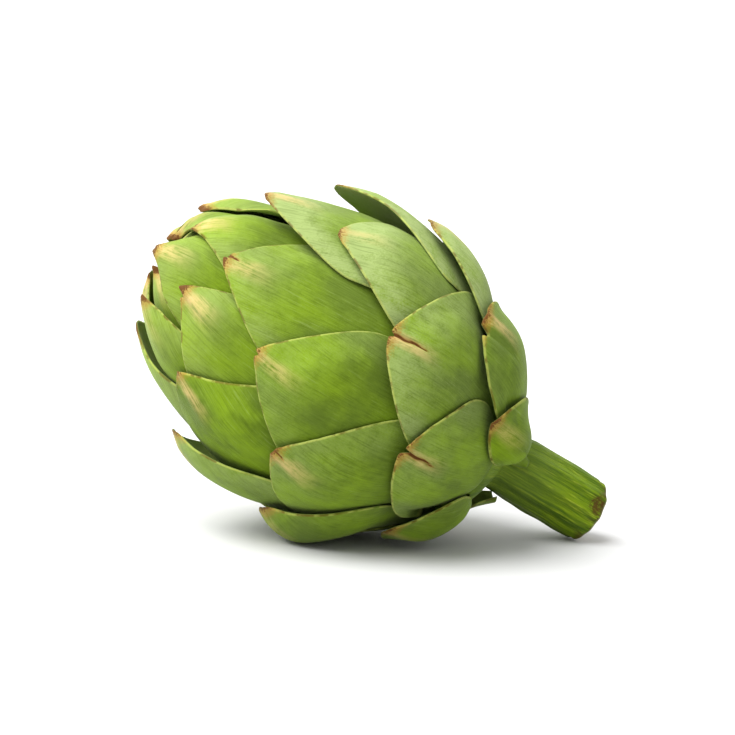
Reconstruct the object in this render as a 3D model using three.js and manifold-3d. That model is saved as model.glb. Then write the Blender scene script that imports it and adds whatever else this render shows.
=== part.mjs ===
// A globe artichoke lying on its side: a cut stem, broad overlapping bracts and a closed bud.
// Millimetres, +Z up, lying on z = 0 with the tip towards -X and the cut stem towards +X.
// The head is made upright about its own axis: its Z runs from the neck, at 0, to the tip.
// One group then lays the whole artichoke down on its belly.

import * as THREE from 'three';
import { mergeVertices } from 'three/addons/utils/BufferGeometryUtils.js';
import Module from 'manifold-3d';

const wasm = await Module();
wasm.setup();

const radians = THREE.MathUtils.degToRad;
const clamp = THREE.MathUtils.clamp;
const lerp = THREE.MathUtils.lerp;

// The head: [radius, height] of the outline that the bract tips reach, from the neck to the tip.
const HEAD_OUTLINE = [
  [10.2, -4], [16.5, 3.5], [22.5, 8.5], [30, 14.5], [35.8, 21.5], [41, 30.5], [45, 39.5], [47.2, 51],
  [46.8, 64], [44, 76], [38.8, 87], [32.2, 97.7], [25.6, 107.8], [17, 115.8], [7.8, 119.8], [0, 120.6],
];
// The receptacle: [radius, height] of the fleshy base that the bracts grow from.
const RECEPTACLE_OUTLINE = [
  [9.4, -4], [8.9, 2], [9.4, 6], [13.5, 8.8], [19.5, 12], [23.5, 16.5], [23, 22], [15, 26.6], [0, 27.4],
];

// How the bracts follow each other round and up the head, the outermost being number 1.
const BRACT_COUNT = 46;
const FIRST_CROWN_BRACT = 33;
const GOLDEN_ANGLE = radians(137.508);
const FIRST_BRACT_ANGLE = radians(54.2);
// [bract number, how far along the outline its tip stands]
const TIP_PLACES = [
  [0, 11], [4, 24], [7, 50], [12, 66], [17, 83.5], [20, 95], [25, 113], [30, 133],
  [33, 141], [38, 154], [46, 159], [60, 163.5],
];
// Every bract lies this much deeper than the one before it.
const LAYER_STEP = 0.62;

// One bract: it spreads this far (radians) to each side of its midrib. Its shoulders are a share
// of the head's radius some way behind the tip, and at most a share of its own length.
const HALF_SPREAD = 0.58;
const SHOULDER_PER_RADIUS = 0.66;
const SHOULDER_BEHIND_TIP = 24;
const LONGEST_SHOULDER = 0.75;
const SHOULDER_POWER = 1.55;
const TIP_ROUNDING = 0.14;
// Round the very top the tips end in a ring, this far along the outline.
const TIPS_END = 156;
const BASE_NARROWING = 0.4;
const OUTER_BRACT_THICKNESS = 1.3;
const INNER_BRACT_THICKNESS = 0.85;
const LAST_OUTER_BRACT = 28;
const FIRST_INNER_BRACT = 40;
const EDGE_THICKNESS = 0.65;
const EDGE_THINNING_POWER = 2.4;
const EDGE_TUCK = 0.4;
const EDGE_TUCK_POWER = 3;
const TIP_TUCK = 0.9;
const TIP_TUCK_REACH = 16;
// A bract that stands off flares at its tip or bulges behind it.
const FLARE_POWER = 1.7;
const BULGE_AT = 16;
const BULGE_LENGTH = 13;
const BASE_GAP = 0.8;
const BASE_STEP = 0.25;
const LOWEST_BASE = 1;
const SMALLEST_RADIUS = 0.3;
const BRACT_COLUMNS = 7;
const BRACT_ROWS = 8;
const ROW_CROWDING = 1.4;

// Bracts that stray from the rule: turned (degrees), longer (mm), narrower (a share), with the
// tip skewed to one side (a share of the half width), standing off at the tip (mm) over the free
// part of their length (mm), bulging behind it (mm), more cupped (a share) where they do, or with
// a blunt tip, cut back this far (mm).
const STRAYS = {
  1: { turn: 134, reach: 0, width: 0.5 },
  2: { turn: -16, reach: -1.5, width: 0.75, lift: 2.5, free: 20 },
  4: { turn: 13, reach: 19, width: 0.66, skew: -0.25, bulge: 1.8, cup: 0.9 },
  5: { lift: 6, free: 22 },
  6: { turn: 10, reach: -3 },
  7: { turn: -5, reach: -1.5, lift: 0.4, bulge: 1.6 },
  9: { turn: 8, reach: 3.6, width: 1.05, bulge: 1.6, cup: 0.9, blunt: 1 },
  10: { reach: 3, lift: 0.4 },
  12: { turn: 3, width: 1.15, bulge: 1.2 },
  14: { turn: 6, reach: 7.8, lift: 1.5, bulge: 1, cup: 0.9, blunt: 1.5 },
  15: { turn: -3, reach: 7, bulge: 3.5, cup: 0.9, blunt: 2 },
  17: { turn: 6, reach: 1, width: 1.2, skew: -0.1 },
  19: { turn: -18, reach: 11, lift: 3.9, skew: 0.5, cup: 0.78, blunt: 1.6 },
  20: { turn: 1, reach: -1.3, width: 1.08, skew: -0.12 },
  22: { turn: 3, reach: 3, bulge: 0.7 },
  23: { turn: 0, reach: 7.8, width: 1.1, lift: 1.4, free: 34, bulge: 1.4, cup: 0.9, blunt: 2.8 },
  25: { turn: -8 },
  27: { turn: -15, reach: 5.2, lift: 3, free: 28, bulge: 0.6, blunt: 1 },
  28: { turn: 5, reach: 0, width: 1.08, skew: -0.15 },
  30: { turn: -10, reach: -0.5, bulge: 1.2 },
  31: { turn: 8, reach: 2.6, width: 1.2, skew: -0.4, lift: 0.7, bulge: 1.6, cup: 1, blunt: 1.5 },
  32: { turn: -7, reach: 4, width: 0.95, skew: 0.25, blunt: 1.4, bulge: 0.6, cup: 0.8 },
  33: { turn: -2, reach: -0.8, skew: 0.3, bulge: 1.5 },
  35: { turn: -17, reach: 1, skew: 0.2, bulge: 1.3 },
  36: { turn: 1, reach: -1.5, width: 1.1, skew: 0.3, lift: 1.2, free: 18, bulge: 1.8, cup: 0.9 },
  38: { turn: -9, reach: 4, width: 1.3, skew: 0.15, lift: 2, free: 16 },
  39: { turn: 20, width: 1.15, skew: -0.1, cup: 1 },
  41: { reach: 3, width: 1.15, bulge: 0.3 },
  44: { turn: 10, width: 1.1, lift: 0.6, bulge: 0.3 },
};
const USUAL = { turn: 0, reach: 0, width: 1, skew: 0, lift: 0, free: 24, bulge: 0.8, cup: 0.7, blunt: 0 };

// The stem.
const STEM_END = -28.3;
const STEM_RADIUS = 9.3;
const STEM_SWELL_AT_CUT = 0.2;
const STEM_DROOP = 0.5;
const STEM_RIBS = 11;
const STEM_RIB_HEIGHT = 0.28;
const STEM_DROOP_POWER = 1.5;
const STEM_EDGE_WIDTH = 0.6;
const STEM_EDGE_HEIGHT = 0.5;
const STEM_SIDES = 44;
const STEM_ROWS = 6;
const RECEPTACLE_ROWS = 12;
const RIBS_FADE_OVER_ROWS = 4;

// The closed bud inside the bracts.
const BUD_FOOT = 34;
const BUD_SIDES = 28;
const BUD_ROWS = 14;
const BUD_TOP_GAP = 1;
const BUD_BRACTS = 9;
const BUD_BRACT_ROWS = 5;
const BUD_BRACT_COLUMNS = 4;
const BUD_CLEARANCE = 1.0;
const BUD_BRACT_LENGTH = 18;
const BUD_BRACT_SINK = 6;

// Towards the crown the head leans over to its +Y, more and more from this height on.
const CROWN_LEAN = 3;
const LEANS_FROM = 75;
const LEANS_OVER = 38;

// How it lies: the head's axis slopes up to the tip, and the belly is pressed in a little
// round a place on its underside.
const LYING_TILT = radians(25.4);
const FLAT_SPOT_DEPTH = 0.5;
const PRESSED_DEPTH = 2.2;
const PRESSED_HEIGHT = 34;
const PRESSED_LENGTH = 26;
const PRESSED_SPREAD = 0.55;
const PRESS_FADES_OVER = 12;

// How finely the paths are sampled, and how close points are welded into one.
const OUTLINE_STEPS = 24;
const RECEPTACLE_STEPS = 16;
const WELD_DISTANCE = 1e-4;

const green = (r, g, b) => new THREE.Color().setRGB(r, g, b, THREE.SRGBColorSpace);
function finish(colour, roughness) {
  return new THREE.MeshStandardMaterial({ color: colour, roughness, metalness: 0 });
}

const OUTER_GREEN = finish(green(0.49, 0.6, 0.3), 0.55);
const INNER_GREEN = finish(green(0.54, 0.66, 0.28), 0.55);
const STEM_GREEN = finish(green(0.4, 0.5, 0.16), 0.5);

// A path through points, evaluated by its length.
function pathByLength(points, steps) {
  const curve = new THREE.SplineCurve(points.map(([x, y]) => new THREE.Vector2(x, y)));
  const samples = curve.getPoints(steps * (points.length - 1));
  const lengths = [0];
  for (let i = 1; i < samples.length; i += 1) {
    lengths.push(lengths[i - 1] + samples[i].distanceTo(samples[i - 1]));
  }
  return { samples, lengths, total: lengths[lengths.length - 1] };
}

function between(keys, values, key) {
  if (key <= keys[0]) return values[0];
  for (let i = 1; i < keys.length; i += 1) {
    if (key <= keys[i]) return lerp(values[i - 1], values[i], (key - keys[i - 1]) / (keys[i] - keys[i - 1]));
  }
  return values[values.length - 1];
}

function spotAlong(path, distance) {
  const xs = path.samples.map((p) => p.x);
  const ys = path.samples.map((p) => p.y);
  return new THREE.Vector2(between(path.lengths, xs, distance), between(path.lengths, ys, distance));
}

const outline = pathByLength(HEAD_OUTLINE, OUTLINE_STEPS);
const receptacle = pathByLength(RECEPTACLE_OUTLINE, RECEPTACLE_STEPS);

// The outline's radius, height and outward normal at a distance along it.
function outlineAt(distance) {
  const along = clamp(distance, 0, outline.total);
  const before = spotAlong(outline, Math.max(along - 1, 0));
  const after = spotAlong(outline, Math.min(along + 1, outline.total));
  const tangent = after.sub(before).normalize();
  const here = spotAlong(outline, along);
  return { radius: here.x, height: here.y, normalRadius: tangent.y, normalHeight: -tangent.x };
}

const tipNumbers = TIP_PLACES.map((pair) => pair[0]);
const tipPlaces = TIP_PLACES.map((pair) => pair[1]);
const tipPlace = (number) => between(tipNumbers, tipPlaces, number);
const numberWithTipAt = (place) => between(tipPlaces, tipNumbers, place);

// How deep under the outline a bract's outer face lies at a place along it.
function layerDepth(number, place) {
  return Math.max(LAYER_STEP * (number - numberWithTipAt(place)), 0);
}

// How far the belly is pressed in at a height and an angle round the head.
function pressAt(height, angle) {
  const sideways = Math.acos(clamp(-Math.sin(angle), -1, 1)) / PRESSED_SPREAD;
  const lengthways = (height - PRESSED_HEIGHT) / PRESSED_LENGTH;
  return PRESSED_DEPTH * Math.exp(-(sideways ** 2) - lengthways ** 2);
}

// The point at a place along the outline, an angle round the head and a height off the outline.
function pointAt(place, angle, offset) {
  const { radius, height, normalRadius, normalHeight } = outlineAt(place);
  const fade = clamp(1 + offset / PRESS_FADES_OVER, 0, 1);
  const off = offset - pressAt(height, angle) * fade;
  const r = Math.max(radius + off * normalRadius, SMALLEST_RADIUS);
  const z = height + off * normalHeight;
  const lean = CROWN_LEAN * clamp((z - LEANS_FROM) / LEANS_OVER, 0, 1) ** 2;
  return new THREE.Vector3(r * Math.cos(angle), r * Math.sin(angle) + lean, z);
}

function thicknessOf(number) {
  const inwards = (number - LAST_OUTER_BRACT) / (FIRST_INNER_BRACT - LAST_OUTER_BRACT);
  return lerp(OUTER_BRACT_THICKNESS, INNER_BRACT_THICKNESS, clamp(inwards, 0, 1));
}

// How far the front margin falls back from the tip at a share of the half width: 0 to 1.
function marginAt(side) {
  const rounded = Math.hypot(side, TIP_ROUNDING) - TIP_ROUNDING;
  const past = rounded / (Math.hypot(1, TIP_ROUNDING) - TIP_ROUNDING);
  return 1 - clamp(1 - past, 0, 1) ** (1 / SHOULDER_POWER);
}

// How far a bract stands off at a distance from its tip and a share of its half width.
function liftAt(stray, fromTip, side) {
  const flare = stray.lift * clamp(1 - fromTip / stray.free, 0, 1) ** FLARE_POWER;
  const bulge = stray.bulge * Math.exp(-(((fromTip - BULGE_AT) / BULGE_LENGTH) ** 2));
  return (flare + bulge) * (1 - stray.cup * side ** 2);
}

// Where a bract ends below: the place where its inner face reaches the receptacle.
function basePlace(number, tip) {
  for (let place = tip; place > LOWEST_BASE; place -= BASE_STEP) {
    const depth = layerDepth(number, place);
    const faces = [pointAt(place, 0, -depth), pointAt(place, 0, -depth - thicknessOf(number))];
    const gaps = faces.map(({ x, z }) => (
      Math.min(...receptacle.samples.map((p) => Math.hypot(p.x - x, p.y - z)))
    ));
    if (Math.min(...gaps) < BASE_GAP) return place;
  }
  return LOWEST_BASE;
}

function geometryOf(points, faces) {
  const geometry = new THREE.BufferGeometry();
  const numbers = points.flatMap((p) => [p.x, p.y, p.z]);
  geometry.setAttribute('position', new THREE.Float32BufferAttribute(numbers, 3));
  geometry.setIndex(faces.flat());
  return geometry;
}

// A closed shell between an outer and an inner grid of points, joined round the rim.
function shell(outer, inner, rows, columns) {
  const width = columns + 1;
  const count = (rows + 1) * width;
  const faces = [];
  for (let row = 0; row < rows; row += 1) {
    for (let column = 0; column < columns; column += 1) {
      const a = row * width + column;
      const b = a + 1;
      const c = a + width;
      const d = c + 1;
      faces.push([a, c, b], [b, c, d]);
      faces.push([count + a, count + b, count + c], [count + b, count + d, count + c]);
    }
  }
  const rim = [];
  for (let column = 0; column < columns; column += 1) rim.push(column);
  for (let row = 0; row < rows; row += 1) rim.push(row * width + columns);
  for (let column = columns; column > 0; column -= 1) rim.push(rows * width + column);
  for (let row = rows; row > 0; row -= 1) rim.push(row * width);
  rim.forEach((a, i) => {
    const b = rim[(i + 1) % rim.length];
    faces.push([a, b, count + a], [b, count + b, count + a]);
  });
  return geometryOf([...outer, ...inner], faces);
}

// One bract: a curved blade that follows the outline at its layer's depth, broad in its middle,
// with shoulders that round in to a blunt tip, thin at its edges and tucked in at its tip.
function bractGeometry(number, rows, columns, small) {
  const stray = { ...USUAL, ...STRAYS[number] };
  const tip = tipPlace(number) + stray.reach;
  const base = small ? tip - small : basePlace(number, tip);
  const length = tip - base;
  const trimmed = small ? 0 : tip - TIPS_END;
  const broadest = SHOULDER_PER_RADIUS * outlineAt(tip - SHOULDER_BEHIND_TIP).radius;
  const shoulder = Math.min(broadest, LONGEST_SHOULDER * length);
  const middle = FIRST_BRACT_ANGLE + radians(stray.turn) - GOLDEN_ANGLE * (number - 1);
  const outer = [];
  const inner = [];
  for (let row = 0; row <= rows; row += 1) {
    for (let column = 0; column <= columns; column += 1) {
      const across = (2 * column) / columns - 1;
      const side = Math.abs(across);
      const margin = Math.max(Math.hypot(shoulder * marginAt(side), stray.blunt), trimmed);
      const fromTip = margin + (length - margin) * (row / rows) ** ROW_CROWDING;
      const place = tip - fromTip;
      const skewed = across + stray.skew * (1 - across ** 2);
      const narrowed = 1 - BASE_NARROWING * (fromTip / length) ** 2;
      const angle = middle + skewed * HALF_SPREAD * stray.width * narrowed;
      const tipTuck = TIP_TUCK * clamp(1 - fromTip / TIP_TUCK_REACH, 0, 1) ** 2;
      const tuck = EDGE_TUCK * side ** EDGE_TUCK_POWER + tipTuck;
      const sink = small ? BUD_BRACT_SINK * (fromTip / small) ** 2 : 0;
      const offset = liftAt(stray, fromTip, side) - tuck - sink - layerDepth(number, place);
      const thickness = lerp(thicknessOf(number), EDGE_THICKNESS, side ** EDGE_THINNING_POWER);
      outer.push(pointAt(place, angle, offset));
      inner.push(pointAt(place, angle, offset - thickness));
    }
  }
  return shell(outer, inner, rows, columns);
}

// A closed solid whose skin is rings of points, one above the other, with a flat or domed end.
function ringSolid(rings) {
  const sides = rings[0].length;
  const points = rings.flat();
  const faces = [];
  for (let ring = 0; ring + 1 < rings.length; ring += 1) {
    for (let side = 0; side < sides; side += 1) {
      const a = ring * sides + side;
      const b = ring * sides + ((side + 1) % sides);
      faces.push([a, b, a + sides], [b, b + sides, a + sides]);
    }
  }
  for (const [start, flip] of [[0, true], [(rings.length - 1) * sides, false]]) {
    const middle = new THREE.Vector3();
    for (let side = 0; side < sides; side += 1) middle.addScaledVector(points[start + side], 1 / sides);
    points.push(middle);
    for (let side = 0; side < sides; side += 1) {
      const a = start + side;
      const b = start + ((side + 1) % sides);
      faces.push(flip ? [b, a, points.length - 1] : [a, b, points.length - 1]);
    }
  }
  return geometryOf(points, faces);
}

// The stem, ribbed and drooping a little towards its cut end, with the receptacle grown on it.
function stemGeometry() {
  const rings = [];
  const ring = (radius, height, ribs, droop) => Array.from({ length: STEM_SIDES }, (_, side) => {
    const angle = (2 * Math.PI * side) / STEM_SIDES;
    const r = radius + ribs * Math.cos(STEM_RIBS * angle);
    return new THREE.Vector3(r * Math.cos(angle), r * Math.sin(angle) - droop, height);
  });
  const top = RECEPTACLE_OUTLINE[0][1];
  rings.push(ring(STEM_RADIUS - STEM_EDGE_WIDTH, STEM_END, STEM_RIB_HEIGHT, STEM_DROOP));
  for (let row = 0; row < STEM_ROWS; row += 1) {
    const along = row / STEM_ROWS;
    const height = lerp(STEM_END + STEM_EDGE_HEIGHT, top, along);
    const radius = lerp(STEM_RADIUS + STEM_SWELL_AT_CUT, RECEPTACLE_OUTLINE[0][0], along);
    const droop = STEM_DROOP * (1 - along) ** STEM_DROOP_POWER;
    rings.push(ring(radius, height, STEM_RIB_HEIGHT, droop));
  }
  for (let row = 0; row < RECEPTACLE_ROWS; row += 1) {
    const spot = spotAlong(receptacle, (receptacle.total * row) / RECEPTACLE_ROWS);
    rings.push(ring(spot.x, spot.y, STEM_RIB_HEIGHT * Math.max(1 - row / RIBS_FADE_OVER_ROWS, 0), 0));
  }
  return ringSolid(rings);
}

function toManifold(geometry) {
  const bare = geometry.clone();
  bare.deleteAttribute('normal');
  bare.deleteAttribute('uv');
  const merged = mergeVertices(bare, WELD_DISTANCE);
  return new wasm.Manifold(new wasm.Mesh({
    numProp: 3,
    vertProperties: Float32Array.from(merged.attributes.position.array),
    triVerts: Uint32Array.from(merged.index.array),
  }));
}

function fromManifold(solid) {
  const mesh = solid.getMesh();
  const geometry = new THREE.BufferGeometry();
  geometry.setAttribute('position', new THREE.BufferAttribute(Float32Array.from(mesh.vertProperties), 3));
  geometry.setIndex(new THREE.BufferAttribute(Uint32Array.from(mesh.triVerts), 1));
  return geometry;
}

// The bud: the innermost bracts, closed over a core, with their tips showing at the crown.
function budGeometry() {
  const rings = [];
  const last = BRACT_COUNT + BUD_BRACTS;
  for (let row = 0; row <= BUD_ROWS; row += 1) {
    const place = lerp(BUD_FOOT, outline.total - BUD_TOP_GAP, row / BUD_ROWS);
    const depth = layerDepth(last, place) + BUD_CLEARANCE;
    rings.push(Array.from({ length: BUD_SIDES }, (_, side) => (
      pointAt(place, (2 * Math.PI * side) / BUD_SIDES, -depth)
    )));
  }
  let bud = toManifold(ringSolid(rings));
  for (let number = BRACT_COUNT + 1; number < last; number += 1) {
    const small = bractGeometry(number, BUD_BRACT_ROWS, BUD_BRACT_COLUMNS, BUD_BRACT_LENGTH);
    bud = bud.add(toManifold(small));
  }
  return fromManifold(bud);
}

const pieces = [];
function add(name, geometry, material) {
  pieces.push({ name, geometry, material });
}

add('stem', stemGeometry(), STEM_GREEN);
for (let number = 1; number <= BRACT_COUNT; number += 1) {
  const name = `bract_${String(number).padStart(2, '0')}`;
  const material = number < FIRST_CROWN_BRACT ? OUTER_GREEN : INNER_GREEN;
  add(name, bractGeometry(number, BRACT_ROWS, BRACT_COLUMNS), material);
}
add('bud', budGeometry(), INNER_GREEN);

// Lay it down: the head's axis points up towards -X, and what was its +X faces -Y.
const axis = new THREE.Vector3(-Math.cos(LYING_TILT), 0, Math.sin(LYING_TILT));
const front = new THREE.Vector3(0, -1, 0);
const lie = new THREE.Matrix4().makeBasis(front, axis.clone().cross(front), axis);
const lying = new THREE.Group();
lying.applyMatrix4(lie);

const artichoke = new THREE.Group();
artichoke.add(lying);
for (const { name, geometry, material } of pieces) {
  const mesh = new THREE.Mesh(geometry, material);
  mesh.name = name;
  lying.add(mesh);
}

// Press a small flat spot on whatever touches the surface: the belly's lowest bracts and the
// stem's rim are cut off at one level.
artichoke.updateMatrixWorld(true);
const lowest = new THREE.Box3().setFromObject(artichoke, true).min.z;
const level = lowest + FLAT_SPOT_DEPTH;
const up = new THREE.Vector3(0, 0, 1).applyMatrix4(lie.clone().invert());
for (const mesh of lying.children) {
  if (new THREE.Box3().setFromObject(mesh, true).min.z < level) {
    mesh.geometry = fromManifold(toManifold(mesh.geometry).trimByPlane(up.toArray(), level));
  }
}

// The origin is under the middle of the artichoke, on the surface it lies on.
const box = new THREE.Box3().setFromObject(artichoke, true);
const centre = box.getCenter(new THREE.Vector3());
artichoke.position.set(-centre.x, -centre.y, -box.min.z);

export default artichoke;
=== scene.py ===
"""A globe artichoke lying on its side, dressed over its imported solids.

Blender 4.5, metres, in the frame of the solids: +Z up, the tip of the head towards -X.
The head is worked out upright about its own axis, in millimetres, and then laid down.
"""
import math

import bpy
import numpy as np
from bpy.props import FloatProperty, FloatVectorProperty, IntProperty, PointerProperty
from mathutils import Matrix, Vector


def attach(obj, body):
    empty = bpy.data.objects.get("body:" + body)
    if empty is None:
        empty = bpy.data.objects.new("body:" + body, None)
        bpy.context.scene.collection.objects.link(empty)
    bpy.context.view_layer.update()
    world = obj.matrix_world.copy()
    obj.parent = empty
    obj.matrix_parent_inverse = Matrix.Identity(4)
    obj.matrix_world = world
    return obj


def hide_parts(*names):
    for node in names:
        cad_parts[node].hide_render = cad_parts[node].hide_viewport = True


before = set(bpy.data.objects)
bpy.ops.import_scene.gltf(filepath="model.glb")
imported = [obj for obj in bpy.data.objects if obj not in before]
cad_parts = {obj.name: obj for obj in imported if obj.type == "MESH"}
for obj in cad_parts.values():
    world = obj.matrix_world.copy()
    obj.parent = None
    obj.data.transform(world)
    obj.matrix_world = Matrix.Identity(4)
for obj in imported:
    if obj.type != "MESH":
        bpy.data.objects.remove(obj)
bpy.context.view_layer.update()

bl_info = {
    "name": "Globe artichoke",
    "version": (1, 0, 0),
    "blender": (4, 5, 0),
    "location": "View3D > Sidebar > Artichoke",
    "description": "Builds a globe artichoke from its bracts, bud and stem",
    "category": "Object",
}

MM = 0.001

# ---------------------------------------------------------------------------
# How the artichoke grows. These are the sizes of the solids, in millimetres.
# ---------------------------------------------------------------------------

# The head: [radius, height] of the outline that the bract tips reach, from the neck to the tip
HEAD_OUTLINE = (
    (10.2, -4), (16.5, 3.5), (22.5, 8.5), (30, 14.5), (35.8, 21.5), (41, 30.5), (45, 39.5),
    (47.2, 51), (46.8, 64), (44, 76), (38.8, 87), (32.2, 97.7), (25.6, 107.8), (17, 115.8),
    (7.8, 119.8), (0, 120.6),
)
# The receptacle: [radius, height] of the fleshy base that the bracts grow from
RECEPTACLE_OUTLINE = (
    (9.4, -4), (8.9, 2), (9.4, 6), (13.5, 8.8), (19.5, 12), (23.5, 16.5), (23, 22), (15, 26.6),
    (0, 27.4),
)
OUTLINE_STEPS = 60

# How the bracts follow each other round and up the head, the outermost being number 1
BRACT_COUNT = 46
GOLDEN_ANGLE = math.radians(137.508)
FIRST_BRACT_ANGLE = math.radians(54.2)
# [bract number, how far along the outline its tip stands]
TIP_PLACES = (
    (0, 11), (4, 24), (7, 50), (12, 66), (17, 83.5), (20, 95), (25, 113), (30, 133),
    (33, 141), (38, 154), (46, 159), (60, 163.5),
)
# Every bract lies this much deeper than the one before it.
LAYER_STEP = 0.62

# One bract: it spreads this far (radians) to each side of its midrib. Its shoulders are a share
# of the head's radius some way behind the tip, and at most a share of its own length.
HALF_SPREAD = 0.58
SHOULDER_PER_RADIUS = 0.66
SHOULDER_BEHIND_TIP = 24
LONGEST_SHOULDER = 0.75
SHOULDER_POWER = 1.55
TIP_ROUNDING = 0.14
# Round the very top the tips end in a ring, this far along the outline.
TIPS_END = 156
BASE_NARROWING = 0.4
BASE_GAP = 0.8
BASE_STEP = 0.25
LOWEST_BASE = 1
SMALLEST_RADIUS = 0.3
# The bracts grow thinner between these two.
LAST_OUTER_BRACT = 28
FIRST_INNER_BRACT = 40
# A bract that stands off flares at its tip or bulges behind it.
FLARE_POWER = 1.7
BULGE_AT = 16
BULGE_LENGTH = 13

# Bracts that stray from the rule: turned (degrees), longer (mm), narrower (a share), with the
# tip skewed to one side (a share of the half width), standing off at the tip (mm) over the free
# part of their length (mm), bulging behind it (mm), more cupped (a share) where they do, or with
# a blunt tip, cut back this far (mm).
STRAYS = {
    1: {"turn": 134, "reach": 0, "width": 0.5},
    2: {"turn": -16, "reach": -1.5, "width": 0.75, "lift": 2.5, "free": 20},
    4: {"turn": 13, "reach": 19, "width": 0.66, "skew": -0.25, "bulge": 1.8, "cup": 0.9},
    5: {"lift": 6, "free": 22},
    6: {"turn": 10, "reach": -3},
    7: {"turn": -5, "reach": -1.5, "lift": 0.4, "bulge": 1.6},
    9: {"turn": 8, "reach": 3.6, "width": 1.05, "bulge": 1.6, "cup": 0.9, "blunt": 1},
    10: {"reach": 3, "lift": 0.4},
    12: {"turn": 3, "width": 1.15, "bulge": 1.2},
    14: {"turn": 6, "reach": 7.8, "lift": 1.5, "bulge": 1, "cup": 0.9, "blunt": 1.5},
    15: {"turn": -3, "reach": 7, "bulge": 3.5, "cup": 0.9, "blunt": 2},
    17: {"turn": 6, "reach": 1, "width": 1.2, "skew": -0.1},
    19: {"turn": -18, "reach": 11, "lift": 3.9, "skew": 0.5, "cup": 0.78, "blunt": 1.6},
    20: {"turn": 1, "reach": -1.3, "width": 1.08, "skew": -0.12},
    22: {"turn": 3, "reach": 3, "bulge": 0.7},
    23: {"turn": 0, "reach": 7.8, "width": 1.1, "lift": 1.4, "free": 34, "bulge": 1.4, "cup": 0.9,
         "blunt": 2.8},
    25: {"turn": -8},
    27: {"turn": -15, "reach": 5.2, "lift": 3, "free": 28, "bulge": 0.6, "blunt": 1},
    28: {"turn": 5, "reach": 0, "width": 1.08, "skew": -0.15},
    30: {"turn": -10, "reach": -0.5, "bulge": 1.2},
    31: {"turn": 8, "reach": 2.6, "width": 1.2, "skew": -0.4, "lift": 0.7, "bulge": 1.6, "cup": 1,
         "blunt": 1.5},
    32: {"turn": -7, "reach": 4, "width": 0.95, "skew": 0.25, "blunt": 1.4, "bulge": 0.6, "cup": 0.8},
    33: {"turn": -2, "reach": -0.8, "skew": 0.3, "bulge": 1.5},
    35: {"turn": -17, "reach": 1, "skew": 0.2, "bulge": 1.3},
    36: {"turn": 1, "reach": -1.5, "width": 1.1, "skew": 0.3, "lift": 1.2, "free": 18, "bulge": 1.8,
         "cup": 0.9},
    38: {"turn": -9, "reach": 4, "width": 1.3, "skew": 0.15, "lift": 2, "free": 16},
    39: {"turn": 20, "width": 1.15, "skew": -0.1, "cup": 1},
    41: {"reach": 3, "width": 1.15, "bulge": 0.3},
    44: {"turn": 10, "width": 1.1, "lift": 0.6, "bulge": 0.3},
}
USUAL = {
    "turn": 0, "reach": 0, "width": 1, "skew": 0, "lift": 0, "free": 24, "bulge": 0.8, "cup": 0.7,
    "blunt": 0,
}

# The stem
STEM_END = -28.3
STEM_RADIUS = 9.3
STEM_SWELL_AT_CUT = 0.2
STEM_DROOP = 0.5
STEM_DROOP_POWER = 1.5
STEM_RIBS = 11
STEM_RIB_HEIGHT = 0.28

# The closed bud inside the bracts
BUD_FOOT = 34
BUD_CLEARANCE = 1.0
BUD_BRACTS = 9

# Towards the crown the head leans over to its +Y, more and more from this height on.
CROWN_LEAN = 3
LEANS_FROM = 75
LEANS_OVER = 38

# How it lies: the head's axis slopes up to the tip, and the belly is pressed in a little round a
# place on its underside.
LYING_TILT = math.radians(25.4)
NECK_AT = np.array((40.7951, 0.7287, 20.8271))
PRESSED_DEPTH = 2.2
PRESSED_HEIGHT = 34
PRESSED_LENGTH = 26
PRESSED_SPREAD = 0.55
PRESS_FADES_OVER = 12
# No point of the finer pieces lies lower than this.
LOWEST_POINT = 0.02

# ---------------------------------------------------------------------------
# What the finer pieces add, in millimetres unless a comment says otherwise
# ---------------------------------------------------------------------------

# Notches in the front margin: [how far across, how deep, half how wide]
NOTCHES = {
    9: ((-3, 4.0, 1.2),), 12: ((0.3, 3.0, 0.8),), 17: ((0.5, 1.8, 0.7),), 25: ((-0.6, 1.2, 1.0),),
    30: ((1.5, 2.0, 0.6),), 33: ((-2, 2.0, 1.5),),
}
# Brown cracks that run back from the margin: [how far across, how long, half how wide]
CRACKS = {
    12: ((0.3, 11, 0.6),), 17: ((0.5, 11, 0.6),), 20: ((1, 4, 0.5),), 30: ((1.5, 5, 0.5),),
    38: ((2, 4, 0.6),),
}
# A crack wanders to both sides as a sine of the length, is sunk a little, and fades out this many
# half widths from its middle. It narrows as the root of the share of its length that is left,
# which counts as no less than its taper.
CRACK_WANDER = 0.18
CRACK_TURNS = 0.9
CRACK_DEPTH = 0.5
CRACK_EDGE = 1.6
CRACK_TAPER = 0.01

# How much grey-green bloom a bract has, where it isn't the usual amount. 1 covers most of it near
# its edges, and more than 1 spreads it over the blade. It is partly painted light: the bracts that face
# the light from above (14, 19, 22, 27) have it raised as a painted highlight, and 4 and 9, which face
# away from it, have it lowered as painted shade.
BLOOM_AND_HIGHLIGHT = {
    4: 0, 7: 0.15, 9: 0.2, 12: 0.4, 14: 1.6, 15: 0.2, 17: 0.8, 19: 1.6, 20: 0.42, 22: 1.5, 23: 0.6,
    25: 0.38, 27: 1.4, 28: 0.15, 30: 0.55, 33: 0.5, 35: 0.5, 36: 0.5, 38: 0.4,
}
USUAL_BLOOM = 0.45
# From the last outer bract on, a bract is wholly young after this many more.
YOUNG_AFTER = 5

# The columns of a blade crowd towards its sides and midrib, and its rows towards the front margin.
COLUMN_CROWDING = 0.6
ROW_SPACING_AT_FRONT = 0.22
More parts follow.
